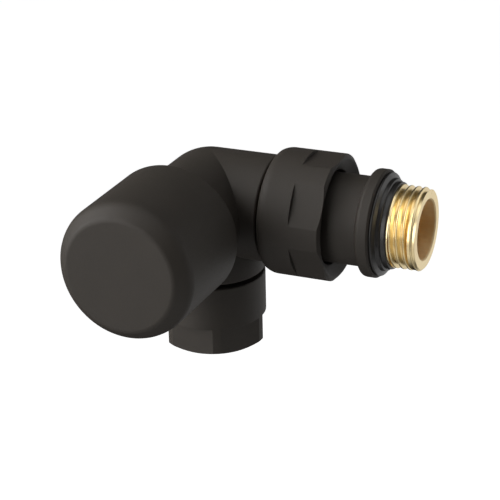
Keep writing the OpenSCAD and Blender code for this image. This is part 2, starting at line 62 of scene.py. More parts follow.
# Each arm of the valve: which way it points from the crossing, and the turn that lays
# a piece modelled upright along +Z on it.
ARMS = {
    "union": (Vector((1, 0, 0)), (0, pi / 2, 0)),
    "wheel": (Vector((0, -1, 0)), (pi / 2, 0, 0)),
    "pipe": (Vector((0, 0, -1)), (pi, 0, 0)),
}
CROSSING = (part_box("pipe_nut")[0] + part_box("pipe_nut")[1]) * Vector((0.5, 0, 0))
STEPS = 128  # faces around a round piece
TURNS = 96  # faces around one turn of a thread
POINT = mm(0.1)  # size of the plane that is merged to an outline's first point
MERGE = mm(0.002)  # points nearer than this are one
CUT = mm(0.0001)  # points this near to a cutting plane lie in it
SMOOTH = radians(24)  # edges that turn less are shaded smooth
BROKEN = radians(32)  # edges that turn more are rounded


def reach(node, arm):
    """Where a node starts and ends along an arm, measured from the crossing of the arms."""
    return sorted((corner - CROSSING).dot(ARMS[arm][0]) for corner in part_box(node))


def radius(node, across=2):
    """Half of a round node's size, across its axis."""
    low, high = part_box(node)
    return (high[across] - low[across]) / 2


# Outlines of round pieces, as places (along the axis, radius)


def rounded(*corners):
    """Outline through corners (along, radius) or (along, radius, rounding of the corner)."""
    points = []
    facet = radians(9)
    for place, corner in enumerate(corners):
        at = Vector(corner[:2])
        if len(corner) == 2:
            points.append(at)
            continue
        before = (Vector(corners[place - 1][:2]) - at).normalized()
        after = (Vector(corners[(place + 1) % len(corners)][:2]) - at).normalized()
        half = before.angle(after) / 2
        middle = at + (before + after).normalized() * corner[2] / sin(half)
        start = at + before * corner[2] / tan(half) - middle
        turn = start.angle_signed(at + after * corner[2] / tan(half) - middle)
        parts = max(3, ceil(abs(turn) / facet))
        for part in range(parts + 1):
            points.append(middle + Matrix.Rotation(-turn * part / parts, 2) @ start)
    return points


# Modelling, as by hand


def take(piece):
    """Makes a piece the only one selected, and the active one."""
    bpy.ops.object.select_all(action="DESELECT")
    piece.select_set(True)
    bpy.context.view_layer.objects.active = piece


def drawn(name, outline, start=0):
    """Draws an outline beside the +Z axis, point by point, and stays in edit mode."""
    along, out = outline[0]
    bpy.ops.object.select_all(action="DESELECT")
    bpy.ops.mesh.primitive_plane_add(size=POINT, location=(out, 0, start + along))
    piece = bpy.context.object
    piece.name = piece.data.name = name
    bpy.ops.object.transform_apply(location=True)
    bpy.ops.object.mode_set(mode="EDIT")
    bpy.ops.mesh.merge(type="CENTER")
    for here, there in zip(outline, outline[1:]):
        step = (there[1] - here[1], 0, there[0] - here[0])
        bpy.ops.mesh.extrude_vertices_move(TRANSFORM_OT_translate={"value": step})
    return piece


def turned(name, outline, loop=True):
    """Turns an outline about +Z. A loop is closed first, unless both its ends are on the axis."""
    outline = list(outline)
    on_axis = outline[0][1] == 0 and outline[-1][1] == 0
    piece = drawn(name, outline + (outline[:1] if loop and not on_axis else []))
    bpy.ops.mesh.select_all(action="SELECT")
    bpy.ops.mesh.spin(steps=STEPS, angle=2 * pi, center=(0, 0, 0), axis=(0, 0, 1))
    close_up()
    bpy.ops.object.mode_set(mode="OBJECT")
    return piece


def close_up(threshold=MERGE):
    """Merges what coincides and turns the faces outwards, in edit mode."""
    bpy.ops.mesh.select_all(action="SELECT")
    bpy.ops.mesh.remove_doubles(threshold=threshold)
    bpy.ops.mesh.normals_make_consistent(inside=False)


def lay(piece, arm):
    """Lays a piece modelled upright on its arm, with its place in its mesh."""
    piece.location = CROSSING
    piece.rotation_euler = ARMS[arm][1]
    take(piece)
    bpy.ops.object.transform_apply(location=True, rotation=True, scale=True)
    return piece


def combine(piece, tool, operation="DIFFERENCE"):
    """Cuts a tool out of a piece, adds it or keeps what both share, and removes the tool."""
    modifier = piece.modifiers.new(operation.title(), "BOOLEAN")
    modifier.operation = operation
    modifier.object = tool
    modifier.solver = "EXACT"
    modifier.material_mode = "TRANSFER"
    take(piece)
    bpy.ops.object.modifier_apply(modifier=modifier.name)
    bpy.data.objects.remove(tool)
    return piece


def cylinder(name, outer, start, end):
    """A plain round bar along +Z."""
    return turned(name, [(start, 0), (start, outer), (end, outer), (end, 0)])


def six_flats(flat_radius, outer, start, end, turn):
    """What is cut off a round piece to give it six flats."""
    over = mm(1)
    waste = cylinder("waste", outer, start, end)
    bpy.ops.object.select_all(action="DESELECT")
    bpy.ops.mesh.primitive_cylinder_add(
        vertices=6,
        radius=flat_radius / cos(pi / 6),
        depth=end - start + 2 * over,
        location=(0, 0, (start + end) / 2),
        rotation=(0, 0, turn),
    )
    return combine(waste, bpy.context.object)


def thread(name, crest, depth, pitch, start, end, shift=0):
    """Right-hand pipe thread of 55 degrees with round crests and roots, as a solid rod.
    One turn of its outline is drawn and swept along the screw, then cut to length."""
    root = crest - depth
    nose = pitch * 0.137  # radius of the crests and roots
    lean = radians(62.5)  # how far they turn before the flank goes on straight
    spare = 2  # turns before and after the length that is kept

    def along(k):
        return nose * sin(lean * k / 3)

    def rise(k):
        return nose * cos(lean * k / 3)

    outline = [(along(k), root + nose - rise(k)) for k in range(4)]
    outline += [(pitch / 2 + along(k), crest - nose + rise(k)) for k in range(-3, 4)]
    outline += [(pitch + along(k), root + nose - rise(k)) for k in range(-3, 1)]
    rod = drawn(name, outline, start - spare * pitch + shift)
    bpy.ops.object.mode_set(mode="OBJECT")
    sweep = rod.modifiers.new("Sweep", "SCREW")
    sweep.axis = "Z"
    sweep.angle = 2 * pi
    sweep.screw_offset = pitch
    sweep.iterations = ceil((end - start) / pitch) + spare + 1
    sweep.steps = sweep.render_steps = TURNS
    sweep.use_merge_vertices = True
    sweep.merge_threshold = MERGE
    take(rod)
    bpy.ops.object.modifier_apply(modifier=sweep.name)
    bpy.ops.object.mode_set(mode="EDIT")
    close_up()
    for place, side in ((start, "clear_inner"), (end, "clear_outer")):
        bpy.ops.mesh.select_all(action="SELECT")
        bpy.ops.mesh.bisect(
            plane_co=(0, 0, place), plane_no=(0, 0, 1), threshold=CUT, use_fill=True,
            **{side: True},
        )
    close_up()
    bpy.ops.object.mode_set(mode="OBJECT")
    return rod


def finished(piece, edge=0):
    """Rounds the edges that are still sharp and shades the piece smooth between them."""
    take(piece)
    bpy.ops.object.mode_set(mode="EDIT")
    close_up()
    # A cut can leave out a single corner of a face.
    bpy.ops.mesh.fill_holes(sides=3)
    bpy.ops.mesh.normals_make_consistent(inside=False)
    bpy.ops.object.mode_set(mode="OBJECT")
    if edge:
        bevel = piece.modifiers.new("Edges", "BEVEL")
        bevel.width = edge
        bevel.segments = 3
        bevel.limit_method = "ANGLE"
        bevel.angle_limit = BROKEN
        bevel.use_clamp_overlap = True
        bpy.ops.object.modifier_apply(modifier=bevel.name)
    bpy.ops.object.shade_smooth_by_angle(angle=SMOOTH)
    even = piece.modifiers.new("Even", "WEIGHTED_NORMAL")
    even.keep_sharp = True
    bpy.ops.object.modifier_apply(modifier=even.name)
    return piece


def placed(piece, arm, body, replaced, edge=0):
    """Lays a piece on its arm, finishes it and ties it to the frame."""
    lay(piece, arm)
    finished(piece, edge)
    return tied(piece, body, replaced)


def tied(piece, body, replaced):
    """Ties a piece to the body it moves with, and hides the nodes it stands for."""
    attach(piece, body)
    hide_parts(*replaced)
    return piece


# Finishes


def linear(colour):
    """An sRGB hex colour as the linear colour that the shaders read."""
    shares = [int(colour[place : place + 2], 16) / 255 for place in (0, 2, 4)]
    return [s / 12.92 if s <= 0.04045 else ((s + 0.055) / 1.055) ** 2.4 for s in shares]


def opaque(colour):
    return (*colour, 1)


def add(material, kind, inputs=(), **settings):
    """Adds a node with its settings, and gives each input a value or links an output to it."""
    node = material.node_tree.nodes.new(kind)
    for name, value in settings.items():
        setattr(node, name, value)
    for name, value in dict(inputs).items():
        if isinstance(value, bpy.types.NodeSocket):
            material.node_tree.links.new(value, node.inputs[name])
        else:
            node.inputs[name].default_value = value
    return node


def new_material(name):
    """An empty material that is ready for its nodes."""
    material = bpy.data.materials.new(name)
    material.use_nodes = True
    material.node_tree.nodes.clear()
    return material


def shaded(material, inputs):
    """Ends a material with its surface."""
    surface = add(material, "ShaderNodeBsdfPrincipled", inputs)
    add(material, "ShaderNodeOutputMaterial", {"Surface": surface.outputs[0]})
    return material


def powder_coat(finish):
    """Polyester powder coat with a fine texture, baked on brass: a soft matt black with a
    faint grain, which only glints at grazing angles."""
    material = new_material("powder_coat_fine_texture_black")
    where = add(material, "ShaderNodeTexCoord").outputs["Object"]
    grain = add(
        material,
        "ShaderNodeTexNoise",
        {"Vector": where, "Scale": 1 / finish.coat_grain, "Detail": 3.0, "Roughness": 0.6},
    ).outputs[0]
    cloud = add(
        material, "ShaderNodeTexNoise", {"Vector": where, "Scale": 1 / mm(9), "Detail": 2.0}
    ).outputs[0]
    colour = add(
        material,
        "ShaderNodeMix",
        {0: cloud, 6: opaque(finish.coat_dark), 7: opaque(finish.coat_light)},
        data_type="RGBA",
    ).outputs[2]
    rough = add(
        material,
        "ShaderNodeMapRange",
        {"Value": grain, "From Min": 0.3, "From Max": 0.7, "To Min": 0.58, "To Max": 0.66},
    ).outputs[0]
    bump = add(
        material,
        "ShaderNodeBump",
        {"Height": grain, "Strength": 0.35, "Distance": mm(0.03)},
    ).outputs[0]
    return shaded(
        material,
        {"Base Color": colour, "Roughness": rough, "Normal": bump, "IOR": 1.37},
    )


def turned_brass(name, light, dark, roughness, stretch, metallic=1.0):
    """Free-machining brass, turned: bright and warm, with fine rings left by the tool."""
    material = new_material(name)
    where = add(material, "ShaderNodeTexCoord").outputs["Object"]
    drawn = add(material, "ShaderNodeMapping", {"Vector": where, "Scale": stretch}).outputs[0]
    rings = add(
        material, "ShaderNodeTexNoise", {"Vector": drawn, "Scale": 1.0, "Detail": 4.0}
    ).outputs[0]
    colour = add(
        material,
        "ShaderNodeMix",
        {0: rings, 6: opaque(dark), 7: opaque(light)},
        data_type="RGBA",
    ).outputs[2]
    rough = add(
        material,
        "ShaderNodeMapRange",
        {
            "Value": rings,
            "From Min": 0.3,
            "From Max": 0.7,
            "To Min": roughness,
            "To Max": roughness + 0.1,
        },
    ).outputs[0]
    bump = add(
        material, "ShaderNodeBump", {"Height": rings, "Strength": 0.3, "Distance": mm(0.01)}
    ).outputs[0]
    return shaded(
        material,
        {"Base Color": colour, "Roughness": rough, "Normal": bump, "Metallic": metallic},
    )


def plain(name, light, dark, grain, roughness, height, metallic=0.0):
    """A finish with a fine grain of its own in colour, gloss and height."""
    material = new_material(name)
    where = add(material, "ShaderNodeTexCoord").outputs["Object"]
    specks = add(
        material, "ShaderNodeTexNoise", {"Vector": where, "Scale": 1 / grain, "Detail": 3.0}
    ).outputs[0]
    colour = add(
        material,
        "ShaderNodeMix",
        {0: specks, 6: opaque(dark), 7: opaque(light)},
        data_type="RGBA",
    ).outputs[2]
    rough = add(
        material,
        "ShaderNodeMapRange",
        {
            "Value": specks,
            "From Min": 0.3,
            "From Max": 0.7,
            "To Min": roughness - 0.04,
            "To Max": roughness + 0.04,
        },
    ).outputs[0]
    bump = add(
        material, "ShaderNodeBump", {"Height": specks, "Strength": 0.3, "Distance": height}
    ).outputs[0]
    return shaded(
        material,
        {"Base Color": colour, "Roughness": rough, "Normal": bump, "Metallic": metallic},
    )


def material(name):
    return bpy.data.materials[name]


def dressed(piece, name):
    """Gives a piece one finish all over."""
    piece.data.materials.clear()
    piece.data.materials.append(material(name))
    return piece


# Settings that a user would change


class RADIATORVALVE_PG_sizes(bpy.types.PropertyGroup):
    edge: FloatProperty(
        name="Edges", description="Rounding of the coated edges", default=mm(0.22), unit="LENGTH"
    )
    wheel_slope: FloatProperty(
        name="Handwheel slope",
        description="Width of the slope between the handwheel's side and its face",
        default=mm(3.2),
        unit="LENGTH",
    )
    wheel_round: FloatProperty(
        name="Handwheel rounding",
        description="Rounding between the handwheel's side and that slope",
        default=mm(4.2),
        unit="LENGTH",
    )
    face_round: FloatProperty(
        name="Handwheel face rounding",
        description="Rounding between that slope and the handwheel's face",
        default=mm(2),
        unit="LENGTH",
    )
    wheel_draft: FloatProperty(
        name="Handwheel draft",
        description="Amount by which the handwheel is slimmer at its front",
        default=mm(0.2),
        unit="LENGTH",
    )
    wheel_wall: FloatProperty(
        name="Handwheel front wall",
        description="Thickness of the handwheel's front",
        default=mm(3),
        unit="LENGTH",
    )
    wheel_gap: FloatProperty(
        name="Handwheel gap",
        description="Gap between the handwheel's bore and the arm inside it",
        default=mm(0.4),
        unit="LENGTH",
    )
    union_flats: FloatProperty(
        name="Union nut flats",
        description="Size across the flats of the union nut",
        default=mm(30.7),
        unit="LENGTH",
    )
    union_dish: FloatProperty(
        name="Union nut dish",
        description="Depth of the dish in the union nut's end, round the tailpiece",
        default=mm(1.7),
        unit="LENGTH",
    )
    union_collar: FloatProperty(
        name="Union nut collar",
        description="Length of the union nut's round collar",
        default=mm(8.8),
        unit="LENGTH",
    )
    pipe_flats: FloatProperty(
        name="Pipe nut flats",
        description="Size across the flats of the pipe nut",
        default=mm(25),
        unit="LENGTH",
    )
    pipe_collar: FloatProperty(
        name="Pipe nut collar",
        description="Length of the pipe nut's round collar",
        default=mm(11.5),
        unit="LENGTH",
    )
    union_wall: FloatProperty(
        name="Union nut wall",
        description="Thickness of the union nut over its thread",
        default=mm(3),
        unit="LENGTH",
    )
    pipe_crest: FloatProperty(
        name="Pipe thread radius",
        description="Radius of the thread under the pipe nut, at its crests",
        default=mm(10.4775),
        unit="LENGTH",
    )
    thread_play: FloatProperty(
        name="Thread play",
        description="Clearance between a thread's crests and the nut on it",
        default=mm(0.05),
        unit="LENGTH",
    )
    nut_gap: FloatProperty(
        name="Nut gap",
        description="Gap that shows between the body and each nut",
        default=mm(1.1),
        unit="LENGTH",
    )
    neck: FloatProperty(
        name="Neck",
        description="Length of the narrow neck that the gap shows",
        default=mm(1.9),
        unit="LENGTH",
    )
    water_way: FloatProperty(
        name="Water way",
        description="Radius of the way through the union's threaded end",
        default=mm(7.5),
        unit="LENGTH",
    )
    tail_radius: FloatProperty(
        name="Tailpiece radius",
        description="Outer radius of the tailpiece between the nut and its collar",
        default=mm(11.45),
        unit="LENGTH",
    )
    tail_bore: FloatProperty(
        name="Tailpiece bore",
        description="Radius of the way through the tailpiece",
        default=mm(7.55),
        unit="LENGTH",
    )
    pitch: FloatProperty(
        name="Thread pitch",
        description="Pitch of the pipe threads",
        default=mm(1.814),
        unit="LENGTH",
    )
    thread_depth: FloatProperty(
        name="Thread depth",
        description="Depth of the pipe threads",
        default=mm(1.16),
        unit="LENGTH",
    )


class RADIATORVALVE_PG_finish(bpy.types.PropertyGroup):
    coat_light: FloatVectorProperty(
        name="Coat, light", description="Lighter shade of the powder coat",
        default=linear("38332e"), subtype="COLOR",
    )
    coat_dark: FloatVectorProperty(
        name="Coat, dark", description="Darker shade of the powder coat",
        default=linear("322e29"), subtype="COLOR",
    )
    coat_grain: FloatProperty(
        name="Coat grain", description="Size of the powder coat's grain",
        default=mm(0.35), unit="LENGTH",
    )
    brass_light: FloatVectorProperty(
        name="Brass, light", description="Lighter shade of the turned brass",
        default=linear("ffecbe"), subtype="COLOR",
    )
    brass_dark: FloatVectorProperty(
        name="Brass, dark", description="Darker shade of the turned brass",
        default=linear("fae0a4"), subtype="COLOR",
    )
    rubber: FloatVectorProperty(
        name="Rubber", description="Colour of the seals",
        default=linear("2a2826"), subtype="COLOR",
    )


class RADIATORVALVE_PG_stage(bpy.types.PropertyGroup):
    azimuth: FloatProperty(
        name="Camera azimuth", description="Turn of the camera round the valve",
        default=radians(23.68), subtype="ANGLE",
    )
    elevation: FloatProperty(
        name="Camera elevation", description="Height of the camera over the valve",
        default=radians(23.36), subtype="ANGLE",
    )
    roll: FloatProperty(
        name="Camera roll", description="Lean of the camera to its side",
        default=radians(-1.34), subtype="ANGLE",
    )
    distance: FloatProperty(
        name="Camera distance", description="Distance from the camera to what it looks at",
        default=0.4285, unit="LENGTH",
    )
    lens: FloatProperty(
        name="Lens", description="Focal length in millimetres", default=118.79
    )
    surround: FloatProperty(
        name="Surround", description="Brightness of the white behind the valve", default=1.0
    )
    lights: FloatProperty(
        name="Softboxes", description="Brightness of all the softboxes together", default=1.0
    )
    floor_depth: FloatProperty(
        name="Floor depth", description="Depth of the floor below the crossing of the arms",
        default=1.3, unit="LENGTH",
    )


# Pieces


class RADIATORVALVE_OT_finishes(bpy.types.Operator):
    """Makes the materials of all the pieces"""

    bl_idname = "radiatorvalve.finishes"
    bl_label = "Finishes"

    def execute(self, context):
        finish = context.scene.radiatorvalve_finish
        powder_coat(finish)
        # The brass that shows: its rings run round the union's axis.
        turned_brass(
            "turned_brass_bright", finish.brass_light, finish.brass_dark, 0.26,
            (1 / mm(0.25), 1 / mm(6), 1 / mm(6)),
        )
        # A drill leaves brass duller than a lathe tool does, with streaks along its way. Its pale
        # colours, on a surface only half metal, are painted light: they brighten the bore, which
        # the softboxes leave dim.
        turned_brass(
            "drilled_brass_painted_light", linear("ffeec6"), linear("f2cd8c"), 0.6,
            (1 / mm(4), 1 / mm(0.9), 1 / mm(0.9)), 0.5,
        )
        # Turned brass of the small inner pieces, whose axes differ: its grain runs no way.
        turned_brass(
            "machined_brass_inner", finish.brass_light, finish.brass_dark, 0.25,
            (1 / mm(0.6), 1 / mm(0.6), 1 / mm(0.6)),
        )
        # EPDM rubber from a polished mould: black, smooth and glossy.
        plain("epdm_rubber_black", finish.rubber, linear("201f1e"), mm(0.8), 0.36, mm(0.01))
        # Stainless steel, turned: grey and bright.
        plain(
            "stainless_steel_turned", linear("c9c9cb"), linear("a9a9ab"), mm(0.5), 0.3,
            mm(0.006), metallic=1.0,
        )
        # Pressed fibre: dull brown with short fibres.
        plain("pressed_fibre_brown", linear("8c7560"), linear("6b5746"), mm(0.4), 0.85, mm(0.05))
        # Glass-filled nylon, moulded: dark grey with a soft shine.
        plain("moulded_nylon_dark", linear("3a3a3b"), linear("2c2c2d"), mm(0.5), 0.45, mm(0.02))
        return {"FINISHED"}


class RADIATORVALVE_OT_handwheel(bpy.types.Operator):
    """Models the handwheel: a plain cup with a sloped and rounded front edge"""

    bl_idname = "radiatorvalve.handwheel"
    bl_label = "Handwheel"

    def execute(self, context):
        sizes = context.scene.radiatorvalve_sizes
        start, end = reach("handwheel", "wheel")
        outer = radius("handwheel")
        front = outer - sizes.wheel_draft
        bore = arm_radius() + sizes.wheel_gap
        inside = end - sizes.wheel_wall
        wheel = turned(
            "handwheel_cup",
            rounded(
                (inside, 0),
                (inside, bore, mm(1.2)),
                (start, bore, mm(0.35)),
                (start, outer, mm(0.45)),
                (end - sizes.wheel_slope, front, sizes.wheel_round),
                (end, front - sizes.wheel_slope, sizes.face_round),
                (end, 0),
            ),
        )
        dressed(wheel, "powder_coat_fine_texture_black")
        placed(wheel, "wheel", "wheel", ["handwheel"])
        return {"FINISHED"}


def arm_radius():
    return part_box("valve_body")[1].z


def arm_tube(name, arm, length, neck=0, neck_end=0):
    """One arm of the body as an open tube in short rows, closed at its far end, where it may
    go on as a narrower neck."""
    round_edge, row = mm(0.5), mm(0.7)
    outer = arm_radius()
    rows = ceil((length - round_edge) / row)
    outline = [(row * k, outer) for k in range(rows)]
    outline += rounded((0, outer), (length, outer, round_edge), (length, 0))[1:-1]
    if neck:
        outline += [(length, neck), (neck_end, neck)]
    outline.append((neck_end or length, 0))
    return lay(turned(name, outline, loop=False), arm)


def keep_side(piece, normals):
    """Bisects a piece at the crossing and keeps the side that each normal points to."""
    take(piece)
    bpy.ops.object.mode_set(mode="EDIT")
    for normal in normals:
        bpy.ops.mesh.select_all(action="SELECT")
        bpy.ops.mesh.bisect(
            plane_co=CROSSING, plane_no=normal, threshold=CUT, clear_inner=True
        )
    bpy.ops.object.mode_set(mode="OBJECT")
    return piece


class RADIATORVALVE_OT_body(bpy.types.Operator):
    """Models the body: three round arms that meet in a ball"""

    bl_idname = "radiatorvalve.body"
    bl_label = "Body"

    def execute(self, context):
        sizes = context.scene.radiatorvalve_sizes
        outer = arm_radius()
        seam = mm(0.01)
        union_end = reach("union_nut", "union")[0] - sizes.nut_gap
        pipe_end = reach("pipe_nut", "pipe")[0] - sizes.nut_gap
        wheel_end = reach("valve_body", "wheel")[1]
        union_neck = radius("union_nut") - sizes.union_wall - sizes.thread_depth
        pipe_neck = sizes.pipe_crest - sizes.thread_depth
        # Each arm keeps the side of the planes halfway to the other two.
        union_arm = keep_side(
            arm_tube("valve_body_arms", "union", union_end, union_neck, union_end + sizes.neck),
            [(1, 1, 0), (1, 0, 1)],
        )
        wheel_arm = keep_side(arm_tube("wheel_arm", "wheel", wheel_end), [(-1, -1, 0), (0, -1, 1)])
        pipe_arm = keep_side(
            arm_tube("pipe_arm", "pipe", pipe_end, pipe_neck, pipe_end + sizes.neck),
            [(-1, 0, -1), (0, 1, -1)],
        )
        bpy.ops.object.select_all(action="DESELECT")
        bpy.ops.mesh.primitive_uv_sphere_add(
            segments=STEPS, ring_count=STEPS // 2, radius=outer, location=CROSSING
        )
        ball = bpy.context.object
        bpy.ops.object.transform_apply(location=True)
        keep_side(ball, [(-1, 0, 0), (0, 1, 0), (0, 0, 1)])
        take(union_arm)
        for part in (wheel_arm, pipe_arm, ball):
            part.select_set(True)
        bpy.ops.object.join()
        body = bpy.context.object
        bpy.ops.object.mode_set(mode="EDIT")
        close_up(seam)
        bpy.ops.object.mode_set(mode="OBJECT")
        dressed(body, "powder_coat_fine_texture_black")
        for way, arm in body_ways(sizes, union_end, pipe_end, wheel_end):
            combine(body, lay(dressed(way, "drilled_brass_painted_light"), arm))
        finished(body)
        tied(body, "valve", ["valve_body"])
        return {"FINISHED"}


def body_ways(sizes, union_end, pipe_end, wheel_end):
    """What is bored out of the body: the chamber and the three ways into it, with the arm
    that each one lies on."""
    over = mm(1)
    chamber, bonnet = mm(8.6), mm(9.95)
    floor, step, out = mm(-1.5), mm(18.5), wheel_end + over
    yield turned(
        "chamber",
        [(floor, 0), (floor, chamber), (step, chamber), (step, bonnet), (out, bonnet), (out, 0)],
    ), "wheel"
    start, out = mm(11.9), union_end + sizes.neck + over
    yield cylinder("union_way", sizes.water_way, start, out), "union"
    seat_way, pipe_way = mm(3.6), mm(6.9)
    seat, start, out = mm(7), mm(13), pipe_end + sizes.neck + over
    yield turned(
        "pipe_way",
        [
            (seat, 0), (seat, seat_way), (start, seat_way), (start, pipe_way), (out, pipe_way),
            (out, 0),
        ],
    ), "pipe"


class RADIATORVALVE_OT_stubs(bpy.types.Operator):
    """Models the bare threaded ends that the two nuts turn on"""

    bl_idname = "radiatorvalve.stubs"
    bl_label = "Threaded ends"

    def execute(self, context):
        sizes = context.scene.radiatorvalve_sizes
        along = sizes.neck - sizes.nut_gap
        start = reach("union_nut", "union")[0] + along
        end = reach("valve_body", "union")[1]
        way, socket, shoulder = sizes.water_way, mm(10.2), end - mm(5.3)
        union = stub(
            "union_stub", sizes, radius("union_nut") - sizes.union_wall, start, end,
            [(start, way), (shoulder, way), (shoulder, socket), (end, socket, mm(0.2))],
        )
        placed(union, "union", "valve", ["valve_body"])
        start = reach("pipe_nut", "pipe")[0] + along
        end = reach("valve_body", "pipe")[1]
        way, socket, shoulder = mm(6.9), mm(7.6), end - mm(6)
        cone, mouth = end - mm(1.8), mm(9)
        pipe = stub(
            "pipe_stub", sizes, sizes.pipe_crest, start, end,
            [
                (start, way), (shoulder, way), (shoulder, socket), (cone, socket),
                (end, mouth, mm(0.1)),
            ],
        )
        placed(pipe, "pipe", "valve", ["valve_body"])
        return {"FINISHED"}


def stub(name, sizes, crest, start, end, bore):
    """A threaded end, with a bore given by its outline."""
    piece = thread(name, crest, sizes.thread_depth, sizes.pitch, start, end)
    clear, chamfer, over = mm(0.1), mm(0.6), mm(1)
    envelope = turned(
        "envelope",
        [
            (start, 0), (start, crest + clear), (end - chamfer, crest + clear),
            (end, crest - chamfer), (end, 0),
        ],
    )
    combine(piece, envelope, "INTERSECT")
    way = rounded(*bore)
    way = [(start - over, 0), (start - over, way[0][1])] + way[1:]
    way += [(end + over, way[-1][1]), (end + over, 0)]
    combine(piece, turned("bore", way))
    return dressed(piece, "turned_brass_bright")


class RADIATORVALVE_OT_nuts(bpy.types.Operator):
    """Models the union nut and the pipe nut: a round collar, then six flats"""

    bl_idname = "radiatorvalve.nuts"
    bl_label = "Nuts"

    def execute(self, context):
        sizes = context.scene.radiatorvalve_sizes
        union_nut(sizes)
        pipe_nut(sizes)
        return {"FINISHED"}


def flatted(nut, flats, outer, start, end, turn):
    """Coats a nut and cuts its six flats, from the collar to past the nut's end."""
    dressed(nut, "powder_coat_fine_texture_black")
    return combine(nut, six_flats(flats / 2, outer + mm(3), start, end + mm(1), turn))


def union_nut(sizes):
    start, end = reach("union_nut", "union")
    outer = radius("union_nut")
    face = sizes.union_flats / 2 - mm(0.1)
    chamfer = (outer - face) * tan(pi / 6)
    thread_bore = outer - sizes.union_wall + sizes.thread_play
    lead = mm(0.4)
    hole = sizes.tail_radius + mm(0.7)
    shoulder = reach("tail_snap_ring", "union")[1]
    collar_end = start + sizes.union_collar
    # The collar swells from its lip to its full size in a round of this radius.
    swell, swell_length, swell_turn = mm(4.5), mm(2.6), 0.6162
    lip = outer - swell + sqrt(swell**2 - swell_length**2)
    swelling = [
        (start + swell_length - swell * sin(a), outer - swell + swell * cos(a))
        for a in (k / 6 * swell_turn for k in range(6))
    ]
    nut = turned(
        "union_nut_coated",
        rounded(
            (start, thread_bore + lead),
            (start + lead, thread_bore),
            (shoulder, thread_bore),
            (shoulder, hole),
            (end - sizes.union_dish, hole, mm(0.25)),
            (end, face - mm(0.3), mm(0.2)),
            (end, face, mm(0.1)),
            (end - chamfer, outer, mm(0.25)),
            (collar_end - mm(0.4), outer),
            (collar_end - mm(0.8), outer),
        )
        + swelling
        + [(start + mm(0.12), lip - mm(0.02)), (start, lip - mm(0.2))],
    )
    flatted(nut, sizes.union_flats, outer, collar_end, end, radians(61))
    placed(nut, "union", "union", ["union_nut"], sizes.edge)


def pipe_nut(sizes):
    start, end = reach("pipe_nut", "pipe")
    outer = radius("pipe_nut", 0)
    face = sizes.pipe_flats / 2 - mm(0.1)
    chamfer = (outer - face) * tan(pi / 6)
    thread_bore = sizes.pipe_crest + sizes.thread_play
    lead = mm(0.4)
    hole = mm(7.75)
    shoulder = reach("thrust_ring", "pipe")[1]
    collar_end = start + sizes.pipe_collar
    nut = turned(
        "pipe_nut_coated",
        rounded(
            (start, thread_bore + lead),
            (start + lead, thread_bore),
            (shoulder, thread_bore),
            (shoulder, hole),
            (end, hole, mm(0.25)),
            (end, face, mm(0.2)),
            (end - chamfer, outer, mm(0.25)),
            (collar_end - mm(0.4), outer),
            (collar_end - mm(0.8), outer),
            (start, outer, mm(0.4)),
        ),
    )
    flatted(nut, sizes.pipe_flats, outer, collar_end, end, radians(33.5))
    placed(nut, "pipe", "pipe_joint", ["pipe_nut"], sizes.edge)


class RADIATORVALVE_OT_tailpiece(bpy.types.Operator):
    """Models the tailpiece: its coated sleeve and collar, and its bare threaded core"""

    bl_idname = "radiatorvalve.tailpiece"
    bl_label = "Tailpiece"

    def execute(self, context):
        sizes = context.scene.radiatorvalve_sizes
        coated_sleeve(sizes)
        brass_core(sizes)
        return {"FINISHED"}


TAIL_CORE = mm(10.1975)  # radius at which the sleeve's coat meets the brass core


def coated_sleeve(sizes):
    start = reach("valve_body", "union")[1]
    ring_start, ring_end = reach("tail_snap_ring", "union")
    end = reach("shoulder_seal", "union")[0]
    tail, collar = sizes.tail_radius, radius("tailpiece")
    groove, play = tail - mm(0.8), mm(0.05)
    collar_start = end - mm(4.1)
    chamfer = mm(0.5)
    sleeve = turned(
        "tailpiece_coated",
        rounded(
            (start, TAIL_CORE),
            (start, tail, mm(0.2)),
            (ring_start - play, tail, mm(0.1)),
            (ring_start - play, groove),
            (ring_end + play, groove),
            (ring_end + play, tail, mm(0.1)),
            (collar_start - mm(0.1), tail, mm(0.25)),
            (collar_start + mm(0.95), collar - mm(0.15), mm(0.6)),
            (collar_start + mm(1.6), collar, mm(0.5)),
            (end - chamfer, collar, mm(0.25)),
            (end, collar - chamfer, mm(0.15)),
            (end, TAIL_CORE),
        ),
    )
    dressed(sleeve, "powder_coat_fine_texture_black")
    placed(sleeve, "union", "tail", ["tailpiece"])


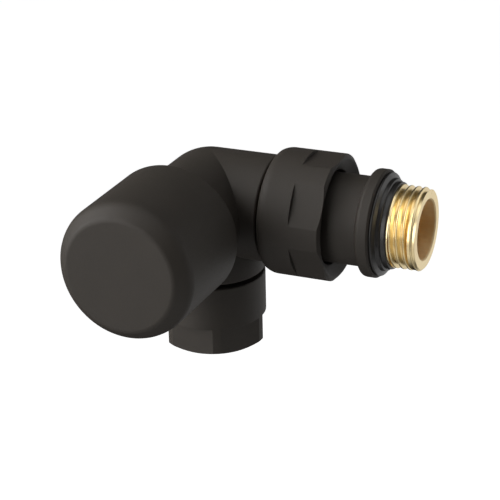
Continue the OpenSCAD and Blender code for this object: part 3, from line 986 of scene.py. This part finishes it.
def brass_core(sizes):
    """The tailpiece's core: its thread, then its shank, then the ways through it."""
    shank_end = reach("valve_body", "union")[1]
    start, end = reach("tailpiece", "union")
    thread_start = -CROSSING.x
    crest, over = mm(10.4775), mm(1)
    rod = thread(
        "tailpiece_brass", crest, sizes.thread_depth, sizes.pitch, thread_start, end,
        shift=mm(0.244),
    )
    # The last groove runs out on the side that lies down and to the front: a slightly
    # eccentric end fills it there.
    nose, nose_start = mm(9.85), end - mm(1.9)
    filling = cylinder("filling", nose, nose_start, end + over)
    filling.location = (mm(0.38), mm(-0.24), 0)
    combine(rod, filling, "UNION")
    envelope = turned(
        "envelope",
        [
            (thread_start - over, 0), (thread_start - over, crest + mm(0.1)),
            (end - mm(0.6), crest + mm(0.1)), (end, crest - mm(0.5)), (end, 0),
        ],
    )
    combine(rod, envelope, "INTERSECT")
    spigot, land = mm(10.1), thread_start + mm(0.3)
    middle = sum(reach("tail_seal", "union")) / 2
    groove, half_groove = spigot - mm(1.375), mm(1.2)
    shank = turned(
        "shank",
        rounded(
            (start, 0),
            (start, spigot, mm(0.4)),
            (middle - half_groove, spigot),
            (middle - half_groove, groove),
            (middle + half_groove, groove),
            (middle + half_groove, spigot),
            (shank_end, spigot),
            (shank_end, TAIL_CORE),
            (thread_start, TAIL_CORE),
            (thread_start, crest),
            (land, crest),
            (land, 0),
        ),
    )
    combine(rod, shank, "UNION")
    dressed(rod, "turned_brass_bright")
    bore, key_flats = sizes.tail_bore, mm(12.7)
    key_start = shank_end + mm(5)
    key_end = key_start + mm(6)
    way = cylinder("way", bore, start - over, key_start)
    combine(rod, dressed(way, "drilled_brass_painted_light"))
    mouth = end - mm(0.3)
    flare = mm(1)
    way = turned(
        "way",
        [
            (key_end, 0), (key_end, bore), (mouth, bore), (mouth + flare, bore + flare),
            (mouth + flare, 0),
        ],
    )
    combine(rod, dressed(way, "drilled_brass_painted_light"))
    bpy.ops.object.select_all(action="DESELECT")
    bpy.ops.mesh.primitive_cylinder_add(
        vertices=6,
        radius=key_flats / 2 / cos(pi / 6),
        depth=key_end - key_start + 2 * over,
        location=(0, 0, (key_start + key_end) / 2),
        rotation=(0, 0, pi / 6),
    )
    combine(rod, dressed(bpy.context.object, "drilled_brass_painted_light"))
    placed(rod, "union", "tail", ["tailpiece"])


class RADIATORVALVE_OT_seals(bpy.types.Operator):
    """Models the two rubber seals in front of the radiator's thread"""

    bl_idname = "radiatorvalve.seals"
    bl_label = "Radiator seals"

    def execute(self, context):
        start, end = reach("shoulder_seal", "union")
        lip = radius("shoulder_seal")
        rim = lip - mm(0.45)
        bore = mm(10.2475)
        shoulder_seal = turned(
            "shoulder_seal_rubber",
            rounded(
                (start, bore),
                (start, rim),
                (start + mm(0.3), rim, mm(0.05)),
                (start + mm(0.36), lip, mm(0.12)),
                (start + mm(0.72), lip - mm(0.15), mm(0.25)),
                (start + mm(1.3), lip - mm(1.38), mm(0.35)),
                (end - mm(0.2), lip - mm(1.6), mm(0.16)),
                (end, lip - mm(1.95), mm(0.1)),
                (end, bore),
            ),
        )
        start, end = reach("thread_seal", "union")
        outer = radius("thread_seal")
        thread_seal = turned(
            "thread_seal_rubber",
            rounded(
                (start, bore), (start, outer), (end - mm(0.2), outer, mm(0.3)),
                (end, outer - mm(0.3), mm(0.1)), (end, bore),
            ),
        )
        for seal, node in ((shoulder_seal, "shoulder_seal"), (thread_seal, "thread_seal")):
            dressed(seal, "epdm_rubber_black")
            placed(seal, "union", "tail", [node])
        return {"FINISHED"}


class RADIATORVALVE_OT_inner_pieces(bpy.types.Operator):
    """Gives the pieces inside the valve their finishes"""

    bl_idname = "radiatorvalve.inner_pieces"
    bl_label = "Inner pieces"

    def execute(self, context):
        finishes = {
            "machined_brass_inner": (
                "bonnet", "gland_nut", "gland_washer", "plug", "olive", "thrust_ring",
            ),
            "stainless_steel_turned": (
                "seat_ring", "spindle", "spindle_clip", "washer_screw", "hub_screw",
                "hub_washer", "tail_snap_ring",
            ),
            "epdm_rubber_black": (
                "stem_seal_inner", "stem_seal_outer", "seat_washer", "tail_seal",
            ),
            "pressed_fibre_brown": ("bonnet_gasket",),
            "moulded_nylon_dark": ("handwheel_hub",),
        }
        for name, nodes in finishes.items():
            for node in nodes:
                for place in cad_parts[node].material_slots:
                    place.material = material(name)
        return {"FINISHED"}


# Softboxes round the valve: turn from the camera to its right and height over the
# horizon in degrees, width and height in metres, brightness where 1 is white.
SOFTBOXES = {
    "back_right_panel": (133, -20, 1.3, 1.5, 0.7),
    "left_softbox": (-90, 22, 0.8, 1.3, 5.4),
    "front_left_softbox": (-45, 12, 0.8, 1.1, 2.7),
    "right_softbox": (95, 5, 0.9, 1.1, 1.1),
    "front_right_softbox": (45, -35, 1.0, 1.0, 0.55),
    "low_softbox": (-45, -40, 1.0, 1.0, 0.6),
    "under_softbox": (10, -70, 1.3, 1.3, 0.4),
    "top_softbox": (0, 85, 1.2, 1.2, 1.25),
    "back_softbox": (175, 5, 1.2, 1.0, 1.8),
}
SOFTBOX_DISTANCE = 1.2
TARGET = Vector((mm(-40.25), mm(-0.88), mm(-12.21)))  # what the camera looks at


def aimed(azimuth, elevation, roll=0):
    """The turn of something that looks at the target from an azimuth and an elevation."""
    return (
        Matrix.Rotation(azimuth, 4, "Z")
        @ Matrix.Rotation(pi / 2 - elevation, 4, "X")
        @ Matrix.Rotation(roll, 4, "Z")
    )


def put(thing, turn, distance):
    """Puts a camera or a light at a distance from the target, and aims it."""
    at = Matrix.Translation((0, 0, distance))
    thing.matrix_world = Matrix.Translation(TARGET) @ turn @ at


def softbox(name, azimuth, elevation, size, brightness):
    """A rectangular softbox that faces the valve."""
    bpy.ops.object.light_add(type="AREA")
    light = bpy.context.object
    light.name = light.data.name = name
    put(light, aimed(azimuth, elevation), SOFTBOX_DISTANCE)
    light.data.shape = "RECTANGLE"
    light.data.size, light.data.size_y = size
    light.data.energy = brightness * pi * size[0] * size[1]
    return light


class RADIATORVALVE_OT_stage(bpy.types.Operator):
    """Sets the pale floor, the soft light and the camera"""

    bl_idname = "radiatorvalve.stage"
    bl_label = "Stage"

    def execute(self, context):
        stage = context.scene.radiatorvalve_stage
        floor_size = 12
        bpy.ops.object.select_all(action="DESELECT")
        bpy.ops.mesh.primitive_plane_add(size=floor_size, location=(0, 0, -stage.floor_depth))
        floor = bpy.context.object
        floor.name = "floor"
        bpy.ops.object.transform_apply(location=True)
        # The paper lies on a light table, so it stays white in its own shadows.
        paper = plain(
            "studio_paper_white", linear("f7f7f7"), linear("f3f3f3"), mm(3), 0.8, mm(0.01)
        )
        glow = paper.node_tree.nodes["Principled BSDF"].inputs
        glow["Emission Color"].default_value = (1, 1, 1, 1)
        glow["Emission Strength"].default_value = 1.0
        floor.data.materials.append(paper)
        floor.visible_diffuse = floor.visible_glossy = False

        bpy.ops.object.camera_add()
        camera = bpy.context.object
        put(camera, aimed(stage.azimuth, stage.elevation, stage.roll), stage.distance)
        camera.data.lens = stage.lens
        camera.data.clip_start = 0.01
        context.scene.camera = camera

        # The surround is only what the camera sees. The softboxes alone light the valve.
        world = context.scene.world = bpy.data.worlds.new("studio")
        world.use_nodes = True
        surround = world.node_tree.nodes["Background"].inputs
        surround["Strength"].default_value = stage.surround
        surround["Color"].default_value = (1, 1, 1, 1)
        seen = world.cycles_visibility
        seen.diffuse = seen.glossy = False
        for name, (turn, height, width, tall, brightness) in SOFTBOXES.items():
            light = softbox(
                name, stage.azimuth + radians(turn), radians(height), (width, tall),
                brightness * stage.lights,
            )
            # The one behind lights the back softly and leaves no glints on the front's edges.
            light.visible_glossy = name != "back_softbox"
        context.scene.view_settings.view_transform = "Standard"
        return {"FINISHED"}


class RADIATORVALVE_PT_panel(bpy.types.Panel):
    """Lists the settings and the steps"""

    bl_idname = "RADIATORVALVE_PT_panel"
    bl_label = "Radiator valve"
    bl_space_type = "VIEW_3D"
    bl_region_type = "UI"
    bl_category = "Radiator valve"

    def draw(self, context):
        for group in GROUPS:
            settings = getattr(context.scene, group)
            box = self.layout.box()
            for name in settings.bl_rna.properties.keys():
                if name not in ("rna_type", "name"):
                    box.prop(settings, name)
        for operator in OPERATORS:
            self.layout.operator(operator.bl_idname)


GROUPS = {
    "radiatorvalve_sizes": RADIATORVALVE_PG_sizes,
    "radiatorvalve_finish": RADIATORVALVE_PG_finish,
    "radiatorvalve_stage": RADIATORVALVE_PG_stage,
}
OPERATORS = (
    RADIATORVALVE_OT_finishes,
    RADIATORVALVE_OT_handwheel,
    RADIATORVALVE_OT_body,
    RADIATORVALVE_OT_stubs,
    RADIATORVALVE_OT_nuts,
    RADIATORVALVE_OT_tailpiece,
    RADIATORVALVE_OT_seals,
    RADIATORVALVE_OT_inner_pieces,
    RADIATORVALVE_OT_stage,
)
CLASSES = (*GROUPS.values(), *OPERATORS, RADIATORVALVE_PT_panel)


def register():
    for kind in CLASSES:
        bpy.utils.register_class(kind)
    for name, group in GROUPS.items():
        setattr(bpy.types.Scene, name, PointerProperty(type=group))


def unregister():
    for name in GROUPS:
        delattr(bpy.types.Scene, name)
    for kind in reversed(CLASSES):
        bpy.utils.unregister_class(kind)


def main():
    register()
    for operator in OPERATORS:
        group, name = operator.bl_idname.split(".")
        getattr(getattr(bpy.ops, group), name)()


if __name__ == "__main__":
    main()
